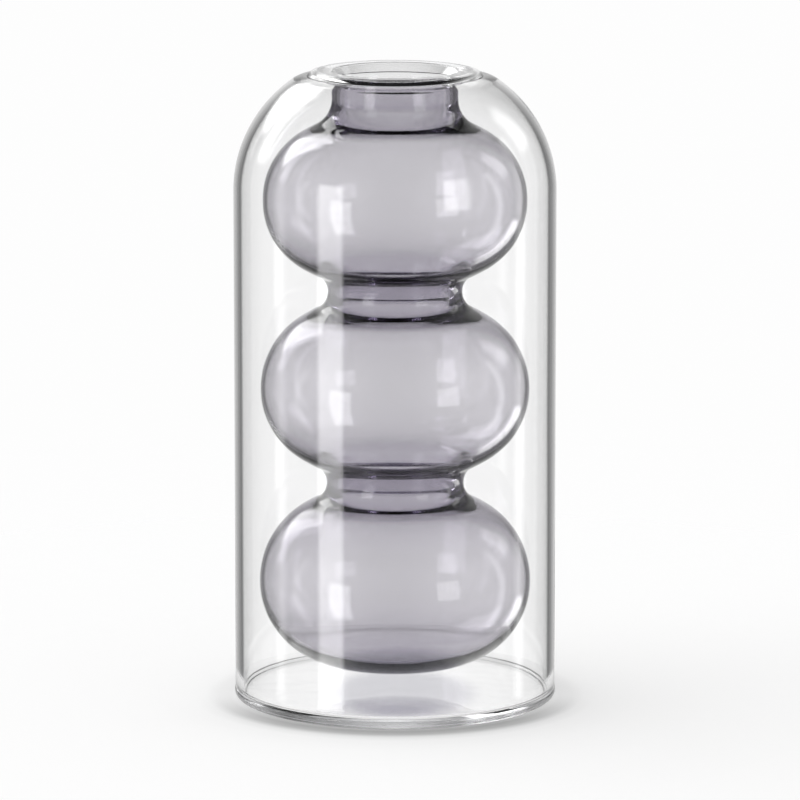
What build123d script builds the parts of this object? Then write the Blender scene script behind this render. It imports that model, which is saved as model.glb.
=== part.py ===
from build123d import *
import math
import os

# Sizes in millimetres. +Z is up, the axis of the vase is Z and the floor it stands on is z = 0.

# Clear outer tube with its rounded shoulder
tube_radius = 55.0
tube_wall = 2.7
shoulder_radius = 46.1
crown_radius = 9.3

# Clear plate that closes the tube below
plate_thickness = 3.0
foot_round = 2.1
foot_proud = 0.25
bulb_gap = 6.8

# Smoked gourd: three flattened bulbs, widest at mid height, with a narrow waist between neighbours.
# Each bulb is as wide as the tube leaves room for beside its air gap; its side arc is a share of its half height.
# The lowest bulb is flatter below than above.
lower_air = 5.8
lower_half_height = 33.7
lower_side_share = 0.866
bottom_half_height = 31.0
bottom_side_share = 0.941
middle_air = 6.35
middle_half_height = 33.15
middle_side_share = 0.84
upper_air = 7.2
upper_half_height = 31.6
upper_side_share = 0.837
lower_waist_radius = 23.5
upper_waist_radius = 22.95
neck_radius = 21.4
neck_rise = 2.9
neck_length = 3.6

# Glass of the gourd: thin at the widest places, thicker towards the waists and the neck, where the inside
# turns upright with bends of its own
upper_wall = 1.35
middle_wall = 1.3
lower_wall = 1.4
inner_side_share = 0.888
neck_crown_wall = 3.0
top_crown_wall = 4.2
under_crown_wall = 4.5
bottom_wall = 3.6
waist_wall = 3.9
neck_wall = 2.65
neck_bend = 6.6
top_bend = 3.4
under_bend = 6.5

# Clear lip that fills the hole of the dome: a mouth that opens upwards, a level top with a rounded edge, and
# an underside that rises from the neck and from the rim of the dome to a ridge
lip_radius = 30.0
lip_height = 6.2
lip_rise = 1.9
lip_edge_round = 0.45
lip_top_round = 4.5
mouth_radius = 21.6
mouth_round = 1.4
mouth_foot_rise = 2.1
mouth_foot_round = 1.8
rim_wall = 1.5
ridge_radius = 25.9
ridge_wall = 1.55
collar_rise = 0.35
collar_bend = 2.4

# Levels, each one standing on the level below it
lower_level = plate_thickness + bulb_gap + bottom_half_height
lower_waist_level = lower_level + lower_half_height
middle_level = lower_waist_level + middle_half_height
upper_waist_level = middle_level + middle_half_height
upper_level = upper_waist_level + upper_half_height
neck_foot_level = upper_level + upper_half_height + neck_rise
neck_top_level = neck_foot_level + neck_length
lip_level = neck_top_level + lip_height
rim_level = lip_level - lip_rise
inner_rim_level = rim_level - rim_wall

# Radii that follow from the sizes
inner_tube_radius = tube_radius - tube_wall
lower_radius = inner_tube_radius - lower_air
lower_side_radius = lower_half_height * lower_side_share
middle_radius = inner_tube_radius - middle_air
middle_side_radius = middle_half_height * middle_side_share
upper_radius = inner_tube_radius - upper_air
upper_side_radius = upper_half_height * upper_side_share
bottom_side_radius = bottom_half_height * bottom_side_share
bore_radius = neck_radius - neck_wall


def spot(radius, level):
    """Point of an outline in the XZ plane."""
    return Vector(radius, 0, level)


def arc(centre, radius, start, end):
    """Arc of an outline from one angle to another, seen along Y."""
    stops = (start, (start + end) / 2, end)
    return ThreePointArc(*[spot(centre.X + radius * math.cos(a), centre.Z + radius * math.sin(a)) for a in stops])


def oval(radius, half_height, side_radius):
    """Crown radius of an oval made of a side arc and a crown arc, and the angle where the two meet."""
    reach = radius - side_radius
    crown = (reach**2 + half_height**2 - side_radius**2) / (2 * (half_height - side_radius))
    return crown, math.atan2(crown - half_height, reach)


def rising_half(level, radius, half_height, side_radius, waist_radius, waist_level, widest_bend=math.inf):
    """Arcs of a bulb from its widest place up to a waist; a bend that is kept small leaves an upright stretch."""
    crown, turn = oval(radius, half_height, side_radius)
    crown_centre = spot(0, level + half_height - crown)
    reach = waist_level - crown_centre.Z
    full_bend = (waist_radius**2 + reach**2 - crown**2) / (2 * (crown - waist_radius))
    bend = min(full_bend, widest_bend)
    rise = math.sqrt((crown + bend) ** 2 - (waist_radius + bend) ** 2)
    bend_centre = spot(waist_radius + bend, crown_centre.Z + rise)
    touch = math.atan2(rise, bend_centre.X)
    edges = [
        arc(spot(radius - side_radius, level), side_radius, 0, turn),
        arc(crown_centre, crown, turn, touch),
        arc(bend_centre, bend, touch - math.pi, -math.pi),
    ]
    if bend < full_bend:
        edges.append(straight_line((waist_radius, bend_centre.Z), (waist_radius, waist_level)))
    return edges


def rising_wall(level, radius, half_height, side_radius, wall, end):
    """Outside and inside of the upper half of a bulb, and the ring face that closes its end.
    The end is its level, outer radius, wall, thickness of the crown below it and inner bend."""
    end_level, end_radius, end_wall, crown_wall, bend = end
    inner_end_radius = end_radius - end_wall
    room = half_height - crown_wall
    edges = rising_half(level, radius, half_height, side_radius, end_radius, end_level)
    edges += rising_half(level, radius - wall, room, room * inner_side_share, inner_end_radius, end_level, bend)
    edges.append(straight_line((inner_end_radius, end_level), (end_radius, end_level)))
    return edges


def closed_half(level, radius, half_height, side_radius):
    """Arcs of a bulb from its widest place up to its pole on the axis."""
    crown, turn = oval(radius, half_height, side_radius)
    return [
        arc(spot(radius - side_radius, level), side_radius, 0, turn),
        arc(spot(0, level + half_height - crown), crown, turn, math.pi / 2),
    ]


def flipped(edges, level):
    """The same arcs upside down about a level."""
    return [mirror(edge, about=Plane.XY.offset(level)) for edge in edges]


def straight_line(first, second):
    """Line between two points of an outline."""
    return Line(spot(*first), spot(*second))


def turned(edges):
    """Solid of revolution about Z from the edges of a closed outline."""
    return revolve(make_face(edges), Axis.Z, 360)


def bulb(level, radius, half_height, side_radius, wall, top, bottom):
    """Blown bulb that is open at both ends."""
    sizes = (level, radius, half_height, side_radius, wall)
    bottom_reach = 2 * level - bottom[0]
    edges = rising_wall(*sizes, top)
    edges += flipped(rising_wall(*sizes, (bottom_reach, *bottom[1:])), level)
    return turned(edges)


# Ends where the sections of the gourd are welded to each other
upper_waist = (upper_waist_level, upper_waist_radius, waist_wall)
lower_waist = (lower_waist_level, lower_waist_radius, waist_wall)
neck_end = (neck_foot_level, neck_radius, neck_wall, neck_crown_wall, neck_bend)
over_upper_waist = (*upper_waist, under_crown_wall, under_bend)
under_upper_waist = (*upper_waist, top_crown_wall, top_bend)
over_lower_waist = (*lower_waist, under_crown_wall, under_bend)
under_lower_waist = (*lower_waist, top_crown_wall, top_bend)

upper_sizes = (upper_level, upper_radius, upper_half_height, upper_side_radius, upper_wall)
upper_bulb = bulb(*upper_sizes, neck_end, over_upper_waist)
middle_sizes = (middle_level, middle_radius, middle_half_height, middle_side_radius, middle_wall)
middle_bulb = bulb(*middle_sizes, under_upper_waist, over_lower_waist)

# Lowest bulb: open above, closed and thicker below
lower_sizes = (lower_level, lower_radius, lower_half_height, lower_side_radius, lower_wall)
lower_edges = rising_wall(*lower_sizes, under_lower_waist)
lower_edges += flipped(closed_half(lower_level, lower_radius, bottom_half_height, bottom_side_radius), lower_level)
inner_depth = bottom_half_height - bottom_wall
inner_bottom = closed_half(lower_level, lower_radius - lower_wall, inner_depth, inner_depth * bottom_side_share)
lower_edges += flipped(inner_bottom, lower_level)
lower_edges.append(straight_line((0, lower_level - bottom_half_height), (0, lower_level - inner_depth)))
lower_bulb = turned(lower_edges)

# Short smoked tube between the first bulb and the lip
neck_corners = (
    (bore_radius, neck_foot_level),
    (neck_radius, neck_foot_level),
    (neck_radius, neck_top_level),
    (bore_radius, neck_top_level),
)
neck_edges = [straight_line(neck_corners[i - 1], neck_corners[i]) for i in range(len(neck_corners))]
mouth_neck = turned(neck_edges)

# Mouth of the lip: upright, then opening as a cone, with rounded corners
mouth_foot_level = neck_top_level + mouth_foot_rise
mouth_slope = math.atan2(lip_level - mouth_foot_level, mouth_radius - bore_radius)
mouth_turn = math.pi / 2 + mouth_slope
mouth_centre = spot(mouth_radius + mouth_round * math.tan(mouth_slope / 2), lip_level - mouth_round)
foot_cut = mouth_foot_round * math.tan((math.pi / 2 - mouth_slope) / 2)
mouth_foot_centre = spot(bore_radius + mouth_foot_round, mouth_foot_level - foot_cut)
mouth_top_arc = arc(mouth_centre, mouth_round, math.pi / 2, mouth_turn)
mouth_foot_arc = arc(mouth_foot_centre, mouth_foot_round, mouth_turn, math.pi)

# Top of the lip: level, then falling in a wide arc to a small arc at the rim of the dome
edge_centre = spot(lip_radius - lip_edge_round, rim_level)
top_low_level = lip_level - lip_top_round
top_reach = math.sqrt((lip_top_round - lip_edge_round) ** 2 - (rim_level - top_low_level) ** 2)
top_centre = spot(edge_centre.X - top_reach, top_low_level)
edge_turn = math.atan2(rim_level - top_low_level, top_reach)

# Underside of the lip: a bend that leaves the neck upright and runs straight on to the ridge
ridge = spot(ridge_radius, lip_level - ridge_wall)
collar_centre = spot(neck_radius + collar_bend, neck_top_level + collar_rise)
to_ridge = ridge - collar_centre
collar_turn = math.atan2(to_ridge.Z, to_ridge.X) + math.acos(collar_bend / to_ridge.length)
collar_arc = arc(collar_centre, collar_bend, collar_turn, math.pi)

lip_edges = [
    straight_line((bore_radius, neck_top_level), (bore_radius, mouth_foot_centre.Z)),
    mouth_foot_arc,
    Line(mouth_foot_arc @ 0, mouth_top_arc @ 1),
    mouth_top_arc,
    straight_line((mouth_centre.X, lip_level), (top_centre.X, lip_level)),
    arc(top_centre, lip_top_round, math.pi / 2, edge_turn),
    arc(edge_centre, lip_edge_round, edge_turn, 0),
    straight_line((lip_radius, rim_level), (lip_radius, inner_rim_level)),
    Line(spot(lip_radius, inner_rim_level), ridge),
    Line(ridge, collar_arc @ 0),
    collar_arc,
    straight_line((neck_radius, collar_centre.Z), (neck_radius, neck_top_level)),
    straight_line((neck_radius, neck_top_level), (bore_radius, neck_top_level)),
]
lip_ring = turned(lip_edges)

# Clear dome: upright tube, large shoulder arc, small crown arc that ends level at the hole for the lip.
# One arc inside leads from the tube to the rim.
shoulder_axis = tube_radius - shoulder_radius
shoulder_turn = math.acos((lip_radius - shoulder_axis) / (shoulder_radius - crown_radius))
shoulder_level = rim_level - crown_radius - (shoulder_radius - crown_radius) * math.sin(shoulder_turn)
shoulder_centre = spot(shoulder_axis, shoulder_level)
crown_centre = spot(lip_radius, rim_level - crown_radius)
inner_reach = inner_tube_radius - lip_radius
inner_rise = inner_rim_level - shoulder_level
inner_shoulder_radius = (inner_reach**2 + inner_rise**2) / (2 * inner_reach)
inner_centre = spot(inner_tube_radius - inner_shoulder_radius, shoulder_level)
inner_turn = math.atan2(inner_rise, lip_radius - inner_centre.X)
dome_edges = [
    straight_line((tube_radius, plate_thickness), (tube_radius, shoulder_level)),
    arc(shoulder_centre, shoulder_radius, 0, shoulder_turn),
    arc(crown_centre, crown_radius, shoulder_turn, math.pi / 2),
    straight_line((lip_radius, rim_level), (lip_radius, inner_rim_level)),
    arc(inner_centre, inner_shoulder_radius, inner_turn, 0),
    straight_line((inner_tube_radius, shoulder_level), (inner_tube_radius, plate_thickness)),
    straight_line((inner_tube_radius, plate_thickness), (tube_radius, plate_thickness)),
]
outer_dome = turned(dome_edges)

# Clear plate with a rounded foot edge that stands a little proud of the tube
foot_centre = spot(tube_radius + foot_proud - foot_round, foot_round)
foot_turn = math.asin((plate_thickness - foot_round) / foot_round)
plate_edge_radius = foot_centre.X + foot_round * math.cos(foot_turn)
plate_edges = [
    straight_line((0, 0), (foot_centre.X, 0)),
    arc(foot_centre, foot_round, -math.pi / 2, foot_turn),
    straight_line((plate_edge_radius, plate_thickness), (0, plate_thickness)),
    straight_line((0, plate_thickness), (0, 0)),
]
base_plate = turned(plate_edges)

pieces = {
    "outer_dome": outer_dome,
    "base_plate": base_plate,
    "lip_ring": lip_ring,
    "mouth_neck": mouth_neck,
    "upper_bulb": upper_bulb,
    "middle_bulb": middle_bulb,
    "lower_bulb": lower_bulb,
}
os.makedirs("parts", exist_ok=True)
for name, piece in pieces.items():
    export_step(piece, f"parts/{name}.step")
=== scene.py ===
import math

import bpy
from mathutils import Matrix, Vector


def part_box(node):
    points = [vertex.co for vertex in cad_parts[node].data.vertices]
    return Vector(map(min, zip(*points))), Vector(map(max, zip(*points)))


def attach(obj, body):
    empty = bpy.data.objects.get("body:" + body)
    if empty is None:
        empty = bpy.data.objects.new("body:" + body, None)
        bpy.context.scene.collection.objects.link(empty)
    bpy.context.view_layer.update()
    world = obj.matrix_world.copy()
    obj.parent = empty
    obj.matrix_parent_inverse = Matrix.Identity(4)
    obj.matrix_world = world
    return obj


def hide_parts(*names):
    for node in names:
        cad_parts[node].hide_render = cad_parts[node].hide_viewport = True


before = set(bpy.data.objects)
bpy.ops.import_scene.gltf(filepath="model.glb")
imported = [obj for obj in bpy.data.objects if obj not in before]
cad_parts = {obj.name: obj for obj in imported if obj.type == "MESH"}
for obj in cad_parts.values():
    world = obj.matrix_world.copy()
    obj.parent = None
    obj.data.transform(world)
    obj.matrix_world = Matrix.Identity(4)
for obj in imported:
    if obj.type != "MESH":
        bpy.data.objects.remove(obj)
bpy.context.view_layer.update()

# Corners of the CAD boxes, in metres
MM = 0.001
dome_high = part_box("outer_dome")[1]
plate_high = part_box("base_plate")[1]
lip_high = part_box("lip_ring")[1]
neck_low, neck_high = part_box("mouth_neck")
upper_low, upper_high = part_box("upper_bulb")
middle_low, middle_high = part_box("middle_bulb")
lower_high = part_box("lower_bulb")[1]

# Clear tube, shoulder and foot
tube_radius = dome_high.x
tube_wall = 2.7 * MM
inner_tube = tube_radius - tube_wall
shoulder_radius = 46.1 * MM
crown_radius = 9.3 * MM
plate_top = plate_high.z
foot_radius = plate_high.x
foot_round = 2.1 * MM
weld_round = 1.5 * MM

# Clear lip on the smoked neck
neck_top = neck_high.z
neck_radius = neck_high.x
rim_level = dome_high.z
rim_wall = 1.5 * MM
lip_level = lip_high.z
lip_radius = lip_high.x
lip_edge_round = 0.45 * MM
lip_top_round = 4.5 * MM
mouth_radius = 21.6 * MM
mouth_round = 1.4 * MM
mouth_foot_rise = 2.1 * MM
mouth_foot_round = 1.8 * MM
ridge_radius = 25.9 * MM
ridge_depth = 1.55 * MM
collar_bend = 2.4 * MM
collar_rise = 0.35 * MM

# Smoked gourd, outside
neck_foot = neck_low.z
neck_rise = 2.9 * MM
upper_waist_level = upper_low.z
upper_waist_radius = 22.95 * MM
lower_waist_level = lower_high.z
lower_waist_radius = 23.5 * MM
upper_half = (upper_high.z - upper_low.z - neck_rise) / 2
middle_half = (middle_high.z - middle_low.z) / 2
lower_half = 33.7 * MM
bottom_half = 31.0 * MM
upper_level = upper_low.z + upper_half
middle_level = middle_low.z + middle_half
lower_level = lower_waist_level - lower_half
upper_side_share = 0.837
middle_side_share = 0.84
lower_side_share = 0.866
bottom_side_share = 0.941

# Smoked gourd, inside: thin at the widest places, thicker towards the waists, the neck and the bottom
upper_wall = 1.35 * MM
middle_wall = 1.3 * MM
lower_wall = 1.4 * MM
waist_wall = 3.9 * MM
neck_wall = 2.65 * MM
bottom_wall = 3.6 * MM
neck_crown_wall = 3.0 * MM
top_crown_wall = 4.2 * MM
under_crown_wall = 4.5 * MM
inner_side_share = 0.888
neck_bend = 6.6 * MM
top_bend = 3.4 * MM
under_bend = 6.5 * MM
bore_radius = neck_radius - neck_wall

# Gap between the two kinds of glass
weld_gap = 0.05 * MM

# Meshes: sides of a ring, width of the support rings beside flat faces, sharp edges, least distance
ring_sides = 192
support = 0.3 * MM
sharp_angle = math.radians(40)
same_place = 1e-7


def arc(centre, radius, start, end, steps):
    """Points on an arc of an outline, as (radius, level)."""
    angles = [start + (end - start) * i / steps for i in range(steps + 1)]
    return [(centre[0] + radius * math.cos(a), centre[1] + radius * math.sin(a)) for a in angles]


def oval(radius, half, side):
    """Crown radius of an oval made of a side arc and a crown arc, and the angle where they meet."""
    reach = radius - side
    crown = (reach**2 + half**2 - side**2) / (2 * (half - side))
    return crown, math.atan2(crown - half, reach)


def rising_half(level, radius, half, side, waist, waist_level, bend=None):
    """Outline of a bulb from its widest place up to a waist; the bend may have a radius of its own."""
    crown, turn = oval(radius, half, side)
    low = level + half - crown
    if bend is None:
        rise = waist_level - low
        bend = (waist**2 + rise**2 - crown**2) / (2 * (crown - waist))
    else:
        rise = math.sqrt((crown + bend) ** 2 - (waist + bend) ** 2)
    touch = math.atan2(rise, waist + bend)
    points = arc((radius - side, level), side, 0, turn, steps=24)
    points += arc((0, low), crown, turn, touch, steps=16)[1:]
    points += arc((waist + bend, low + rise), bend, touch - math.pi, -math.pi, steps=24)[1:]
    if waist_level - low - rise > same_place:
        points.append((waist, waist_level))
    return points


def inside_half(level, radius, half, wall, crown_wall, waist, waist_level, bend):
    """Inside of half a bulb, thin at its widest place and thicker towards the waist."""
    room = half - crown_wall
    return rising_half(level, radius - wall, room, room * inner_side_share, waist, waist_level, bend)


def closed_half(level, radius, half, side):
    """Outline of a bulb from its widest place up to its pole."""
    crown, turn = oval(radius, half, side)
    points = arc((radius - side, level), side, 0, turn, steps=24)
    points += arc((0, level + half - crown), crown, turn, math.pi / 2, steps=24)[1:]
    return points


def flipped(points, level):
    """The same outline upside down about a level."""
    return [(r, 2 * level - z) for r, z in points]


def joined(*runs):
    """One outline from several runs, without doubled points."""
    out = []
    for run in runs:
        for point in run:
            if not out or math.dist(point, out[-1]) > same_place:
                out.append(point)
    return out


def lathe(name, outline, material, closed=True):
    """Mesh turned from an outline of (radius, level) points about Z; points on the axis become one vertex."""
    verts, rings = [], []
    for r, z in outline:
        if r < same_place:
            rings.append([len(verts)])
            verts.append((0, 0, z))
        else:
            rings.append([len(verts) + i for i in range(ring_sides)])
            for i in range(ring_sides):
                a = 2 * math.pi * i / ring_sides
                verts.append((r * math.cos(a), r * math.sin(a), z))
    faces = []
    count = len(rings)
    for k in range(count if closed else count - 1):
        low, high = rings[k], rings[(k + 1) % count]
        if len(low) == 1 and len(high) == 1:
            continue
        for i in range(ring_sides):
            j = (i + 1) % ring_sides
            if len(low) == 1:
                faces.append((low[0], high[j], high[i]))
            elif len(high) == 1:
                faces.append((low[i], low[j], high[0]))
            else:
                faces.append((low[i], low[j], high[j], high[i]))
    mesh = bpy.data.meshes.new(name)
    mesh.from_pydata(verts, [], faces)
    mesh.validate()
    mesh.polygons.foreach_set("use_smooth", [True] * len(mesh.polygons))
    mesh.set_sharp_from_angle(angle=sharp_angle)
    mesh.materials.append(material)
    obj = bpy.data.objects.new(name, mesh)
    bpy.context.scene.collection.objects.link(obj)
    return obj


class Graph:
    """Short ways to add the nodes that the world and the floor are made of."""

    def __init__(self, tree):
        self.nodes, self.links = tree.nodes, tree.links

    def math(self, kind, *values):
        """Sum, product or the like of numbers and outputs."""
        node = self.nodes.new("ShaderNodeMath")
        node.operation = kind
        for socket, value in zip(node.inputs, values):
            if isinstance(value, (int, float)):
                socket.default_value = value
            else:
                self.links.new(value, socket)
        return node.outputs[0]

    def length(self, vector):
        """Length of a vector."""
        node = self.nodes.new("ShaderNodeVectorMath")
        node.operation = "LENGTH"
        self.links.new(vector, node.inputs[0])
        return node.outputs["Value"]

    def step(self, value, low, high):
        """Smooth rise from 0 at low to 1 at high."""
        node = self.nodes.new("ShaderNodeMapRange")
        node.interpolation_type = "SMOOTHSTEP"
        self.links.new(value, node.inputs["Value"])
        node.inputs["From Min"].default_value = low
        node.inputs["From Max"].default_value = high
        return node.outputs["Result"]

    def band(self, value, low, high, soft):
        """1 between low and high and 0 outside, with soft edges."""
        up = self.step(value, low - soft, low + soft)
        down = self.step(value, high - soft, high + soft)
        return self.math("MULTIPLY", up, self.math("SUBTRACT", 1.0, down))

    def ramp(self, value, stops, span):
        """Grey level that follows stops of (value, level), from 0 to span."""
        node = self.nodes.new("ShaderNodeValToRGB")
        elements = node.color_ramp.elements
        while len(elements) < len(stops):
            elements.new(0.5)
        for element, (place, level) in zip(elements, stops):
            element.position = place / span
            element.color = (level, level, level, 1)
        self.links.new(self.math("DIVIDE", value, span), node.inputs[0])
        return node.outputs["Color"]

    def mix(self, share, first, second):
        """The first number where share is 0, the second where it is 1."""
        node = self.nodes.new("ShaderNodeMix")
        node.data_type = "FLOAT"
        for index, value in ((0, share), (2, first), (3, second)):
            self.links.new(value, node.inputs[index])
        return node.outputs[0]

    def tint(self, share, colour):
        """White where share is 0, the colour where it is 1."""
        node = self.nodes.new("ShaderNodeMix")
        node.data_type = "RGBA"
        self.links.new(share, node.inputs[0])
        node.inputs[6].default_value = (1, 1, 1, 1)
        node.inputs[7].default_value = (*colour, 1)
        return node.outputs[2]


# Glass: light-bending index, waves of hand work, and for each kind its tint, density and stretch of the waves
glass_index = 1.47
wave_scale = 70.0
wave_depth = 0.04 * MM
clear_kind = ((0.56, 0.56, 0.6), 4.0, (1.0, 1.0, 0.12))
smoked_kind = ((0.16, 0.105, 0.25), 145.0, (1.0, 1.0, 1.6))


def glass(name, tint, density, grain):
    """Glass that darkens along the way light takes through it, with faint waves of hand work."""
    material = bpy.data.materials.new(name)
    material.use_nodes = True
    nodes, links = material.node_tree.nodes, material.node_tree.links
    shader = nodes["Principled BSDF"]
    shader.inputs["Base Color"].default_value = (1, 1, 1, 1)
    shader.inputs["Roughness"].default_value = 0.0
    shader.inputs["IOR"].default_value = glass_index
    shader.inputs["Transmission Weight"].default_value = 1.0
    coords = nodes.new("ShaderNodeTexCoord")
    stretch = nodes.new("ShaderNodeMapping")
    stretch.inputs["Scale"].default_value = grain
    waves = nodes.new("ShaderNodeTexNoise")
    waves.inputs["Scale"].default_value = wave_scale
    waves.inputs["Detail"].default_value = 1.0
    bump = nodes.new("ShaderNodeBump")
    bump.inputs["Strength"].default_value = 1.0
    bump.inputs["Distance"].default_value = wave_depth
    links.new(coords.outputs["Object"], stretch.inputs["Vector"])
    links.new(stretch.outputs["Vector"], waves.inputs["Vector"])
    links.new(waves.outputs["Fac"], bump.inputs["Height"])
    links.new(bump.outputs["Normal"], shader.inputs["Normal"])
    absorb = nodes.new("ShaderNodeVolumeAbsorption")
    absorb.inputs["Color"].default_value = (*tint, 1)
    absorb.inputs["Density"].default_value = density
    links.new(absorb.outputs["Volume"], nodes["Material Output"].inputs["Volume"])
    return material


def gourd_outline():
    """Neck and three bulbs as one wall: down the inside from the neck to the pole, back up the outside."""
    upper = (upper_level, upper_high.x, upper_half)
    middle = (middle_level, middle_high.x, middle_half)
    lower = (lower_level, lower_high.x, lower_half)
    upper_side = upper_half * upper_side_share
    middle_side = middle_half * middle_side_share
    lower_side = lower_half * lower_side_share
    # Waists below the upper and the middle bulb, seen upside down
    under_upper = 2 * upper_level - upper_waist_level
    under_middle = 2 * middle_level - lower_waist_level
    bottom_side = bottom_half * bottom_side_share
    outside = joined(
        [(neck_radius, neck_top - weld_gap)],
        rising_half(*upper, upper_side, neck_radius, neck_foot)[::-1],
        flipped(rising_half(*upper, upper_side, upper_waist_radius, under_upper), upper_level),
        rising_half(*middle, middle_side, upper_waist_radius, upper_waist_level)[::-1],
        flipped(rising_half(*middle, middle_side, lower_waist_radius, under_middle), middle_level),
        rising_half(*lower, lower_side, lower_waist_radius, lower_waist_level)[::-1],
        flipped(closed_half(lower_level, lower_high.x, bottom_half, bottom_side), lower_level),
    )
    upper_bore = upper_waist_radius - waist_wall
    lower_bore = lower_waist_radius - waist_wall
    upper_foot = inside_half(*upper, upper_wall, under_crown_wall, upper_bore, under_upper, under_bend)
    middle_foot = inside_half(*middle, middle_wall, under_crown_wall, lower_bore, under_middle, under_bend)
    depth = bottom_half - bottom_wall
    bottom = closed_half(lower_level, lower_high.x - lower_wall, depth, depth * bottom_side_share)
    inside = joined(
        [(bore_radius, neck_top - weld_gap)],
        inside_half(*upper, upper_wall, neck_crown_wall, bore_radius, neck_foot, neck_bend)[::-1],
        flipped(upper_foot, upper_level),
        inside_half(*middle, middle_wall, top_crown_wall, upper_bore, upper_waist_level, top_bend)[::-1],
        flipped(middle_foot, middle_level),
        inside_half(*lower, lower_wall, top_crown_wall, lower_bore, lower_waist_level, top_bend)[::-1],
        flipped(bottom, lower_level),
    )
    return joined(inside, outside[::-1])


def shell_outline():
    """Plate, tube, shoulder and lip as one run of glass: up the outside, over the lip and down the inside."""
    foot_centre = (foot_radius - foot_round, foot_round)
    foot_turn = math.asin((plate_top - foot_round) / foot_round)
    shoulder_axis = tube_radius - shoulder_radius
    shoulder_turn = math.acos((lip_radius - shoulder_axis) / (shoulder_radius - crown_radius))
    shoulder_level = rim_level - crown_radius - (shoulder_radius - crown_radius) * math.sin(shoulder_turn)
    shoulder_centre = (shoulder_axis, shoulder_level)
    crown_centre = (lip_radius, rim_level - crown_radius)

    edge_centre = (lip_radius - lip_edge_round, rim_level)
    top_low = lip_level - lip_top_round
    top_reach = math.sqrt((lip_top_round - lip_edge_round) ** 2 - (rim_level - top_low) ** 2)
    top_centre = (edge_centre[0] - top_reach, top_low)
    edge_turn = math.atan2(rim_level - top_low, top_reach)
    mouth_foot = neck_top + mouth_foot_rise
    mouth_slope = math.atan2(lip_level - mouth_foot, mouth_radius - bore_radius)
    mouth_turn = math.pi / 2 + mouth_slope
    mouth_centre = (mouth_radius + mouth_round * math.tan(mouth_slope / 2), lip_level - mouth_round)
    foot_cut = mouth_foot_round * math.tan((math.pi / 2 - mouth_slope) / 2)
    mouth_foot_centre = (bore_radius + mouth_foot_round, mouth_foot - foot_cut)

    ridge = (ridge_radius, lip_level - ridge_depth)
    collar_centre = (neck_radius + collar_bend, neck_top + collar_rise)
    to_ridge = (ridge[0] - collar_centre[0], ridge[1] - collar_centre[1])
    collar_turn = math.atan2(to_ridge[1], to_ridge[0]) + math.acos(collar_bend / math.hypot(*to_ridge))
    inner_reach = inner_tube - lip_radius
    inner_rise = rim_level - rim_wall - shoulder_level
    inner_shoulder = (inner_reach**2 + inner_rise**2) / (2 * inner_reach)
    inner_centre = (inner_tube - inner_shoulder, shoulder_level)
    inner_turn = math.atan2(inner_rise, lip_radius - inner_centre[0])
    weld_centre = (inner_tube - weld_round, plate_top + weld_round)

    return joined(
        [(0, 0), (foot_centre[0] - support, 0)],
        arc(foot_centre, foot_round, -math.pi / 2, foot_turn, steps=32),
        [(tube_radius, plate_top), (tube_radius, shoulder_level - support)],
        arc(shoulder_centre, shoulder_radius, 0, shoulder_turn, steps=56),
        arc(crown_centre, crown_radius, shoulder_turn, math.pi / 2, steps=16),
        arc(edge_centre, lip_edge_round, 0, edge_turn, steps=12),
        arc(top_centre, lip_top_round, edge_turn, math.pi / 2, steps=24),
        [(top_centre[0] - support, lip_level), (mouth_centre[0] + support, lip_level)],
        arc(mouth_centre, mouth_round, math.pi / 2, mouth_turn, steps=16),
        arc(mouth_foot_centre, mouth_foot_round, mouth_turn, math.pi, steps=16),
        [(bore_radius, neck_top), (neck_radius, neck_top)],
        arc(collar_centre, collar_bend, math.pi, collar_turn, steps=16),
        [ridge],
        arc(inner_centre, inner_shoulder, inner_turn, 0, steps=64),
        [(inner_tube, shoulder_level - support), (inner_tube, weld_centre[1] + support)],
        arc(weld_centre, weld_round, 0, -math.pi / 2, steps=24),
        [(weld_centre[0] - support, plate_top), (0, plate_top)],
    )


# The two pieces of the vase
clear_glass = glass("clear_glass", *clear_kind)
smoked_glass = glass("smoked_glass", *smoked_kind)

gourd = lathe("smoked_gourd", gourd_outline(), smoked_glass)
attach(gourd, "root")
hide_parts("mouth_neck", "upper_bulb", "middle_bulb", "lower_bulb")

shell_piece = lathe("clear_shell", shell_outline(), clear_glass, closed=False)
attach(shell_piece, "root")
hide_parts("outer_dome", "lip_ring", "base_plate")

# Walls of the room that the glass reflects, as (degrees away from the camera's side, level)
wall_stops = (
    (0, 0.02), (12, 0.03), (30, 0.25), (60, 0.5), (125, 0.55), (142, 0.42),
    (148, 0.2), (151, 0.1), (154, 0.25), (165, 0.45), (180, 1.0),
)
wall_span = 180.0
wall_heights = (-33, 33)
wall_soft = 13
room_level = 0.01

# Bright panels of that room: degrees round from the camera's side, degrees up, softness, strength
room_panels = (
    ((-57, -38), (-32, 12), 1.5, 3.4),  # tall window in front on the left
    ((36, 56), (-7, 17), 1.5, 2.4),  # window in front on the right
    ((-160, -134), (16, 44), 3.0, 3.2),  # high, behind on the left
    ((116, 132), (15, 38), 3.0, 1.6),  # high, behind on the right
    ((125, 141), (-46, -16), 2.5, 3.0),  # low, behind on the right
    ((98, 106), (-45, 30), 2.0, 1.5),  # upright strip on the right
    ((-95, -87), (-40, 25), 2.0, 1.0),  # upright strip on the left
)

# Light on the floor, with a soft window in the same terms, and the white ground that the eye sees
sky_level = 0.6
sky_window = ((-150, -50), (15, 60), 15.0, 1.6)
backdrop_level = 0.985
backdrop_lift_through_glass = 0.015


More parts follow.
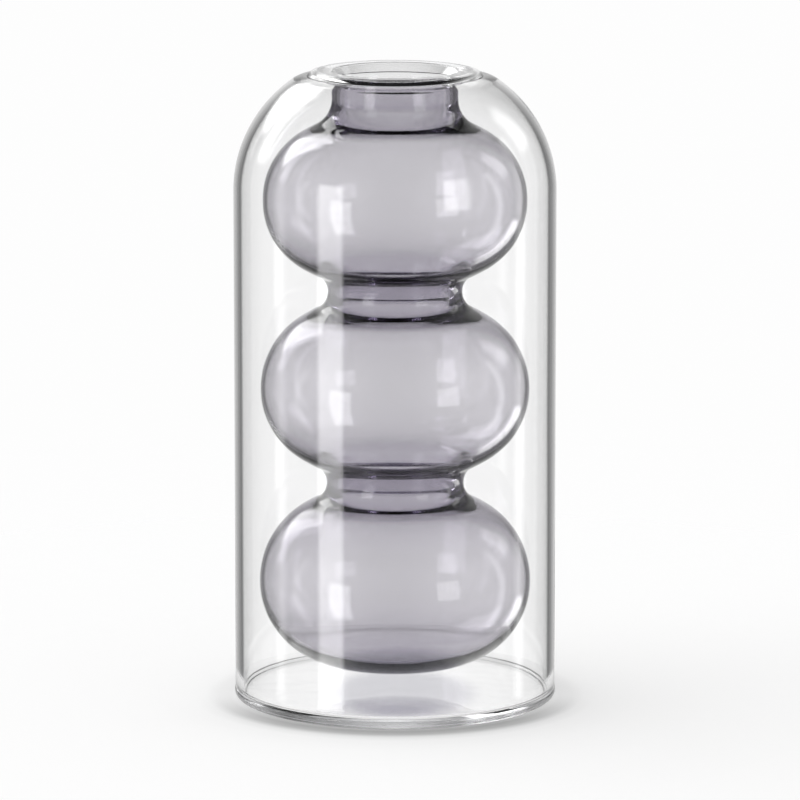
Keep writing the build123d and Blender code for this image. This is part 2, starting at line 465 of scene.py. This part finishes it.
def build_world():
    """World that is white to the camera and straight through glass, and a dim room in every reflection."""
    world = bpy.data.worlds.new("studio")
    bpy.context.scene.world = world
    world.use_nodes = True
    graph = Graph(world.node_tree)
    nodes, links = graph.nodes, graph.links
    nodes.clear()

    coords = nodes.new("ShaderNodeTexCoord")
    split = nodes.new("ShaderNodeSeparateXYZ")
    links.new(coords.outputs["Generated"], split.inputs[0])
    x, y, z = split.outputs
    az = graph.math("DEGREES", graph.math("ARCTAN2", x, graph.math("MULTIPLY", y, -1.0)))
    el = graph.math("DEGREES", graph.math("ARCSINE", z))

    def panel(az_range, el_range, soft, strength):
        shape = graph.math("MULTIPLY", graph.band(az, *az_range, soft), graph.band(el, *el_range, soft))
        return graph.math("MULTIPLY", shape, strength)

    walls = graph.ramp(graph.math("ABSOLUTE", az), wall_stops, wall_span)
    walls = graph.math("MULTIPLY", walls, graph.band(el, *wall_heights, wall_soft))
    room = graph.math("ADD", room_level, walls)
    for room_panel in room_panels:
        room = graph.math("ADD", room, panel(*room_panel))
    sky = graph.math("ADD", sky_level, panel(*sky_window))

    path = nodes.new("ShaderNodeLightPath")
    through = path.outputs["Is Transmission Ray"]
    seen = graph.math("ADD", path.outputs["Is Camera Ray"], through)
    lift = graph.math("MULTIPLY", through, backdrop_lift_through_glass)
    backdrop = graph.math("ADD", backdrop_level, lift)
    reflected = graph.math("GREATER_THAN", path.outputs["Glossy Depth"], 0.5)
    light = graph.mix(reflected, graph.mix(seen, sky, backdrop), room)
    background = nodes.new("ShaderNodeBackground")
    background.inputs["Color"].default_value = (1, 1, 1, 1)
    links.new(light, background.inputs["Strength"])
    out = nodes.new("ShaderNodeOutputWorld")
    links.new(background.outputs[0], out.inputs[0])


build_world()

# Floor: a pale disc that fades into the white round it, and only its inner parts show through the glass
floor_level = -0.02 * MM
middle_edge = 53.0 * MM
ring_edge = 75.0 * MM
floor_edge = 600.0 * MM
fade_start = 120.0 * MM
fade_end = 500.0 * MM

# Painted shadow round the foot, as (millimetres from the axis, depth), with less of it behind than in front
foot_shade = (
    (50, 0.0), (53, 0.4), (57, 0.58), (61, 0.48), (65, 0.16), (70, 0.05), (85, 0.01), (110, 0.0),
)
foot_shade_span = 120.0
front_reach = 50.0 * MM
behind_share = 0.2

# Painted shadow of the gourd on the floor: an oval about a place just in front of the axis, fading from its
# core to its rim
gourd_shade_scale = (1.0, 0.72, 0.0)
gourd_shade_shift = (-1.5 * MM, 6.0 * MM, 0.0)
gourd_shade_core = 18.0 * MM
gourd_shade_rim = 30.0 * MM
gourd_shade_depth = 0.42
gourd_shade_tint = (0.91, 0.9, 1.0)


def floor_material(name, glow_level, pale_level):
    """Floor that is pale to the eye and through glass, with painted shade round the foot and a painted shadow
    below the gourd.
    """
    material = bpy.data.materials.new(name)
    material.use_nodes = True
    graph = Graph(material.node_tree)
    nodes, links = graph.nodes, graph.links
    nodes.remove(nodes["Principled BSDF"])

    place = nodes.new("ShaderNodeTexCoord").outputs["Object"]
    split = nodes.new("ShaderNodeSeparateXYZ")
    links.new(place, split.inputs[0])
    radius = graph.length(place)

    # Painted contact shadow: a ring that darkens the floor round the foot, stronger in front than behind
    dark = graph.ramp(graph.math("DIVIDE", radius, MM), foot_shade, foot_shade_span)
    front = graph.math("MULTIPLY", graph.step(split.outputs[1], 0.0, -front_reach), 1.0 - behind_share)
    front = graph.math("ADD", front, behind_share)
    shade = graph.math("SUBTRACT", 1.0, graph.math("MULTIPLY", dark, front))

    # Painted shadow of the gourd: a bluish oval that darkens the floor colour and glow
    spread = nodes.new("ShaderNodeVectorMath")
    spread.operation = "MULTIPLY_ADD"
    links.new(place, spread.inputs[0])
    spread.inputs[1].default_value = gourd_shade_scale
    spread.inputs[2].default_value = gourd_shade_shift
    under_gourd = graph.step(graph.length(spread.outputs[0]), gourd_shade_rim, gourd_shade_core)
    cast = graph.math("MULTIPLY", under_gourd, gourd_shade_depth)
    shade = graph.math("MULTIPLY", shade, graph.math("SUBTRACT", 1.0, cast))

    path = nodes.new("ShaderNodeLightPath")
    seen = graph.math("ADD", path.outputs["Is Camera Ray"], path.outputs["Is Transmission Ray"])
    seen = graph.math("MINIMUM", graph.math("ADD", seen, path.outputs["Is Glossy Ray"]), 1.0)
    strength = graph.math("MULTIPLY", graph.math("MULTIPLY", seen, shade), glow_level)
    glow = nodes.new("ShaderNodeEmission")
    links.new(graph.tint(under_gourd, gourd_shade_tint), glow.inputs["Color"])
    links.new(strength, glow.inputs["Strength"])
    diffuse = nodes.new("ShaderNodeBsdfDiffuse")
    links.new(graph.math("MULTIPLY", shade, pale_level), diffuse.inputs["Color"])
    shader = nodes.new("ShaderNodeAddShader")
    links.new(diffuse.outputs[0], shader.inputs[0])
    links.new(glow.outputs[0], shader.inputs[1])

    fade = nodes.new("ShaderNodeMixShader")
    links.new(graph.step(radius, fade_start, fade_end), fade.inputs[0])
    links.new(shader.outputs[0], fade.inputs[1])
    links.new(nodes.new("ShaderNodeBsdfTransparent").outputs[0], fade.inputs[2])
    links.new(fade.outputs[0], nodes["Material Output"].inputs["Surface"])
    return material


def floor_part(name, outer, inner, material):
    """Flat ring of the floor, facing up."""
    return lathe(name, [(outer, floor_level), (inner, floor_level)], material, closed=False)


under_foot = floor_material("floor_under_foot", glow_level=1.0, pale_level=0.05)
pale = floor_material("pale_floor", glow_level=0.68, pale_level=0.35)
inner_floor = floor_part("floor_middle", middle_edge, 0, under_foot)
ring_floor = floor_part("floor_ring", ring_edge, middle_edge, pale)
outer_floor = floor_part("floor_around", floor_edge, ring_edge, pale)
outer_floor.visible_transmission = False
outer_floor.visible_glossy = False

# Camera, fitted to the ellipses of the foot and the lip in the photograph
tilt = math.radians(10.349)
distance = 2061.7 * MM
target = Vector((1.71 * MM, 0, 102.916 * MM))
camera_data = bpy.data.cameras.new("camera")
camera_data.sensor_width = 36
camera_data.lens = 271.05
camera_data.clip_end = 20
camera = bpy.data.objects.new("camera", camera_data)
camera.location = target - distance * Vector((0, math.cos(tilt), -math.sin(tilt)))
camera.rotation_euler = (math.pi / 2 - tilt, 0, 0)
scene = bpy.context.scene
scene.collection.objects.link(camera)
scene.camera = camera

# Enough bounces for light to pass all the walls of glass
scene.view_settings.view_transform = "Standard"
scene.cycles.max_bounces = 32
scene.cycles.transmission_bounces = 32
scene.cycles.glossy_bounces = 16
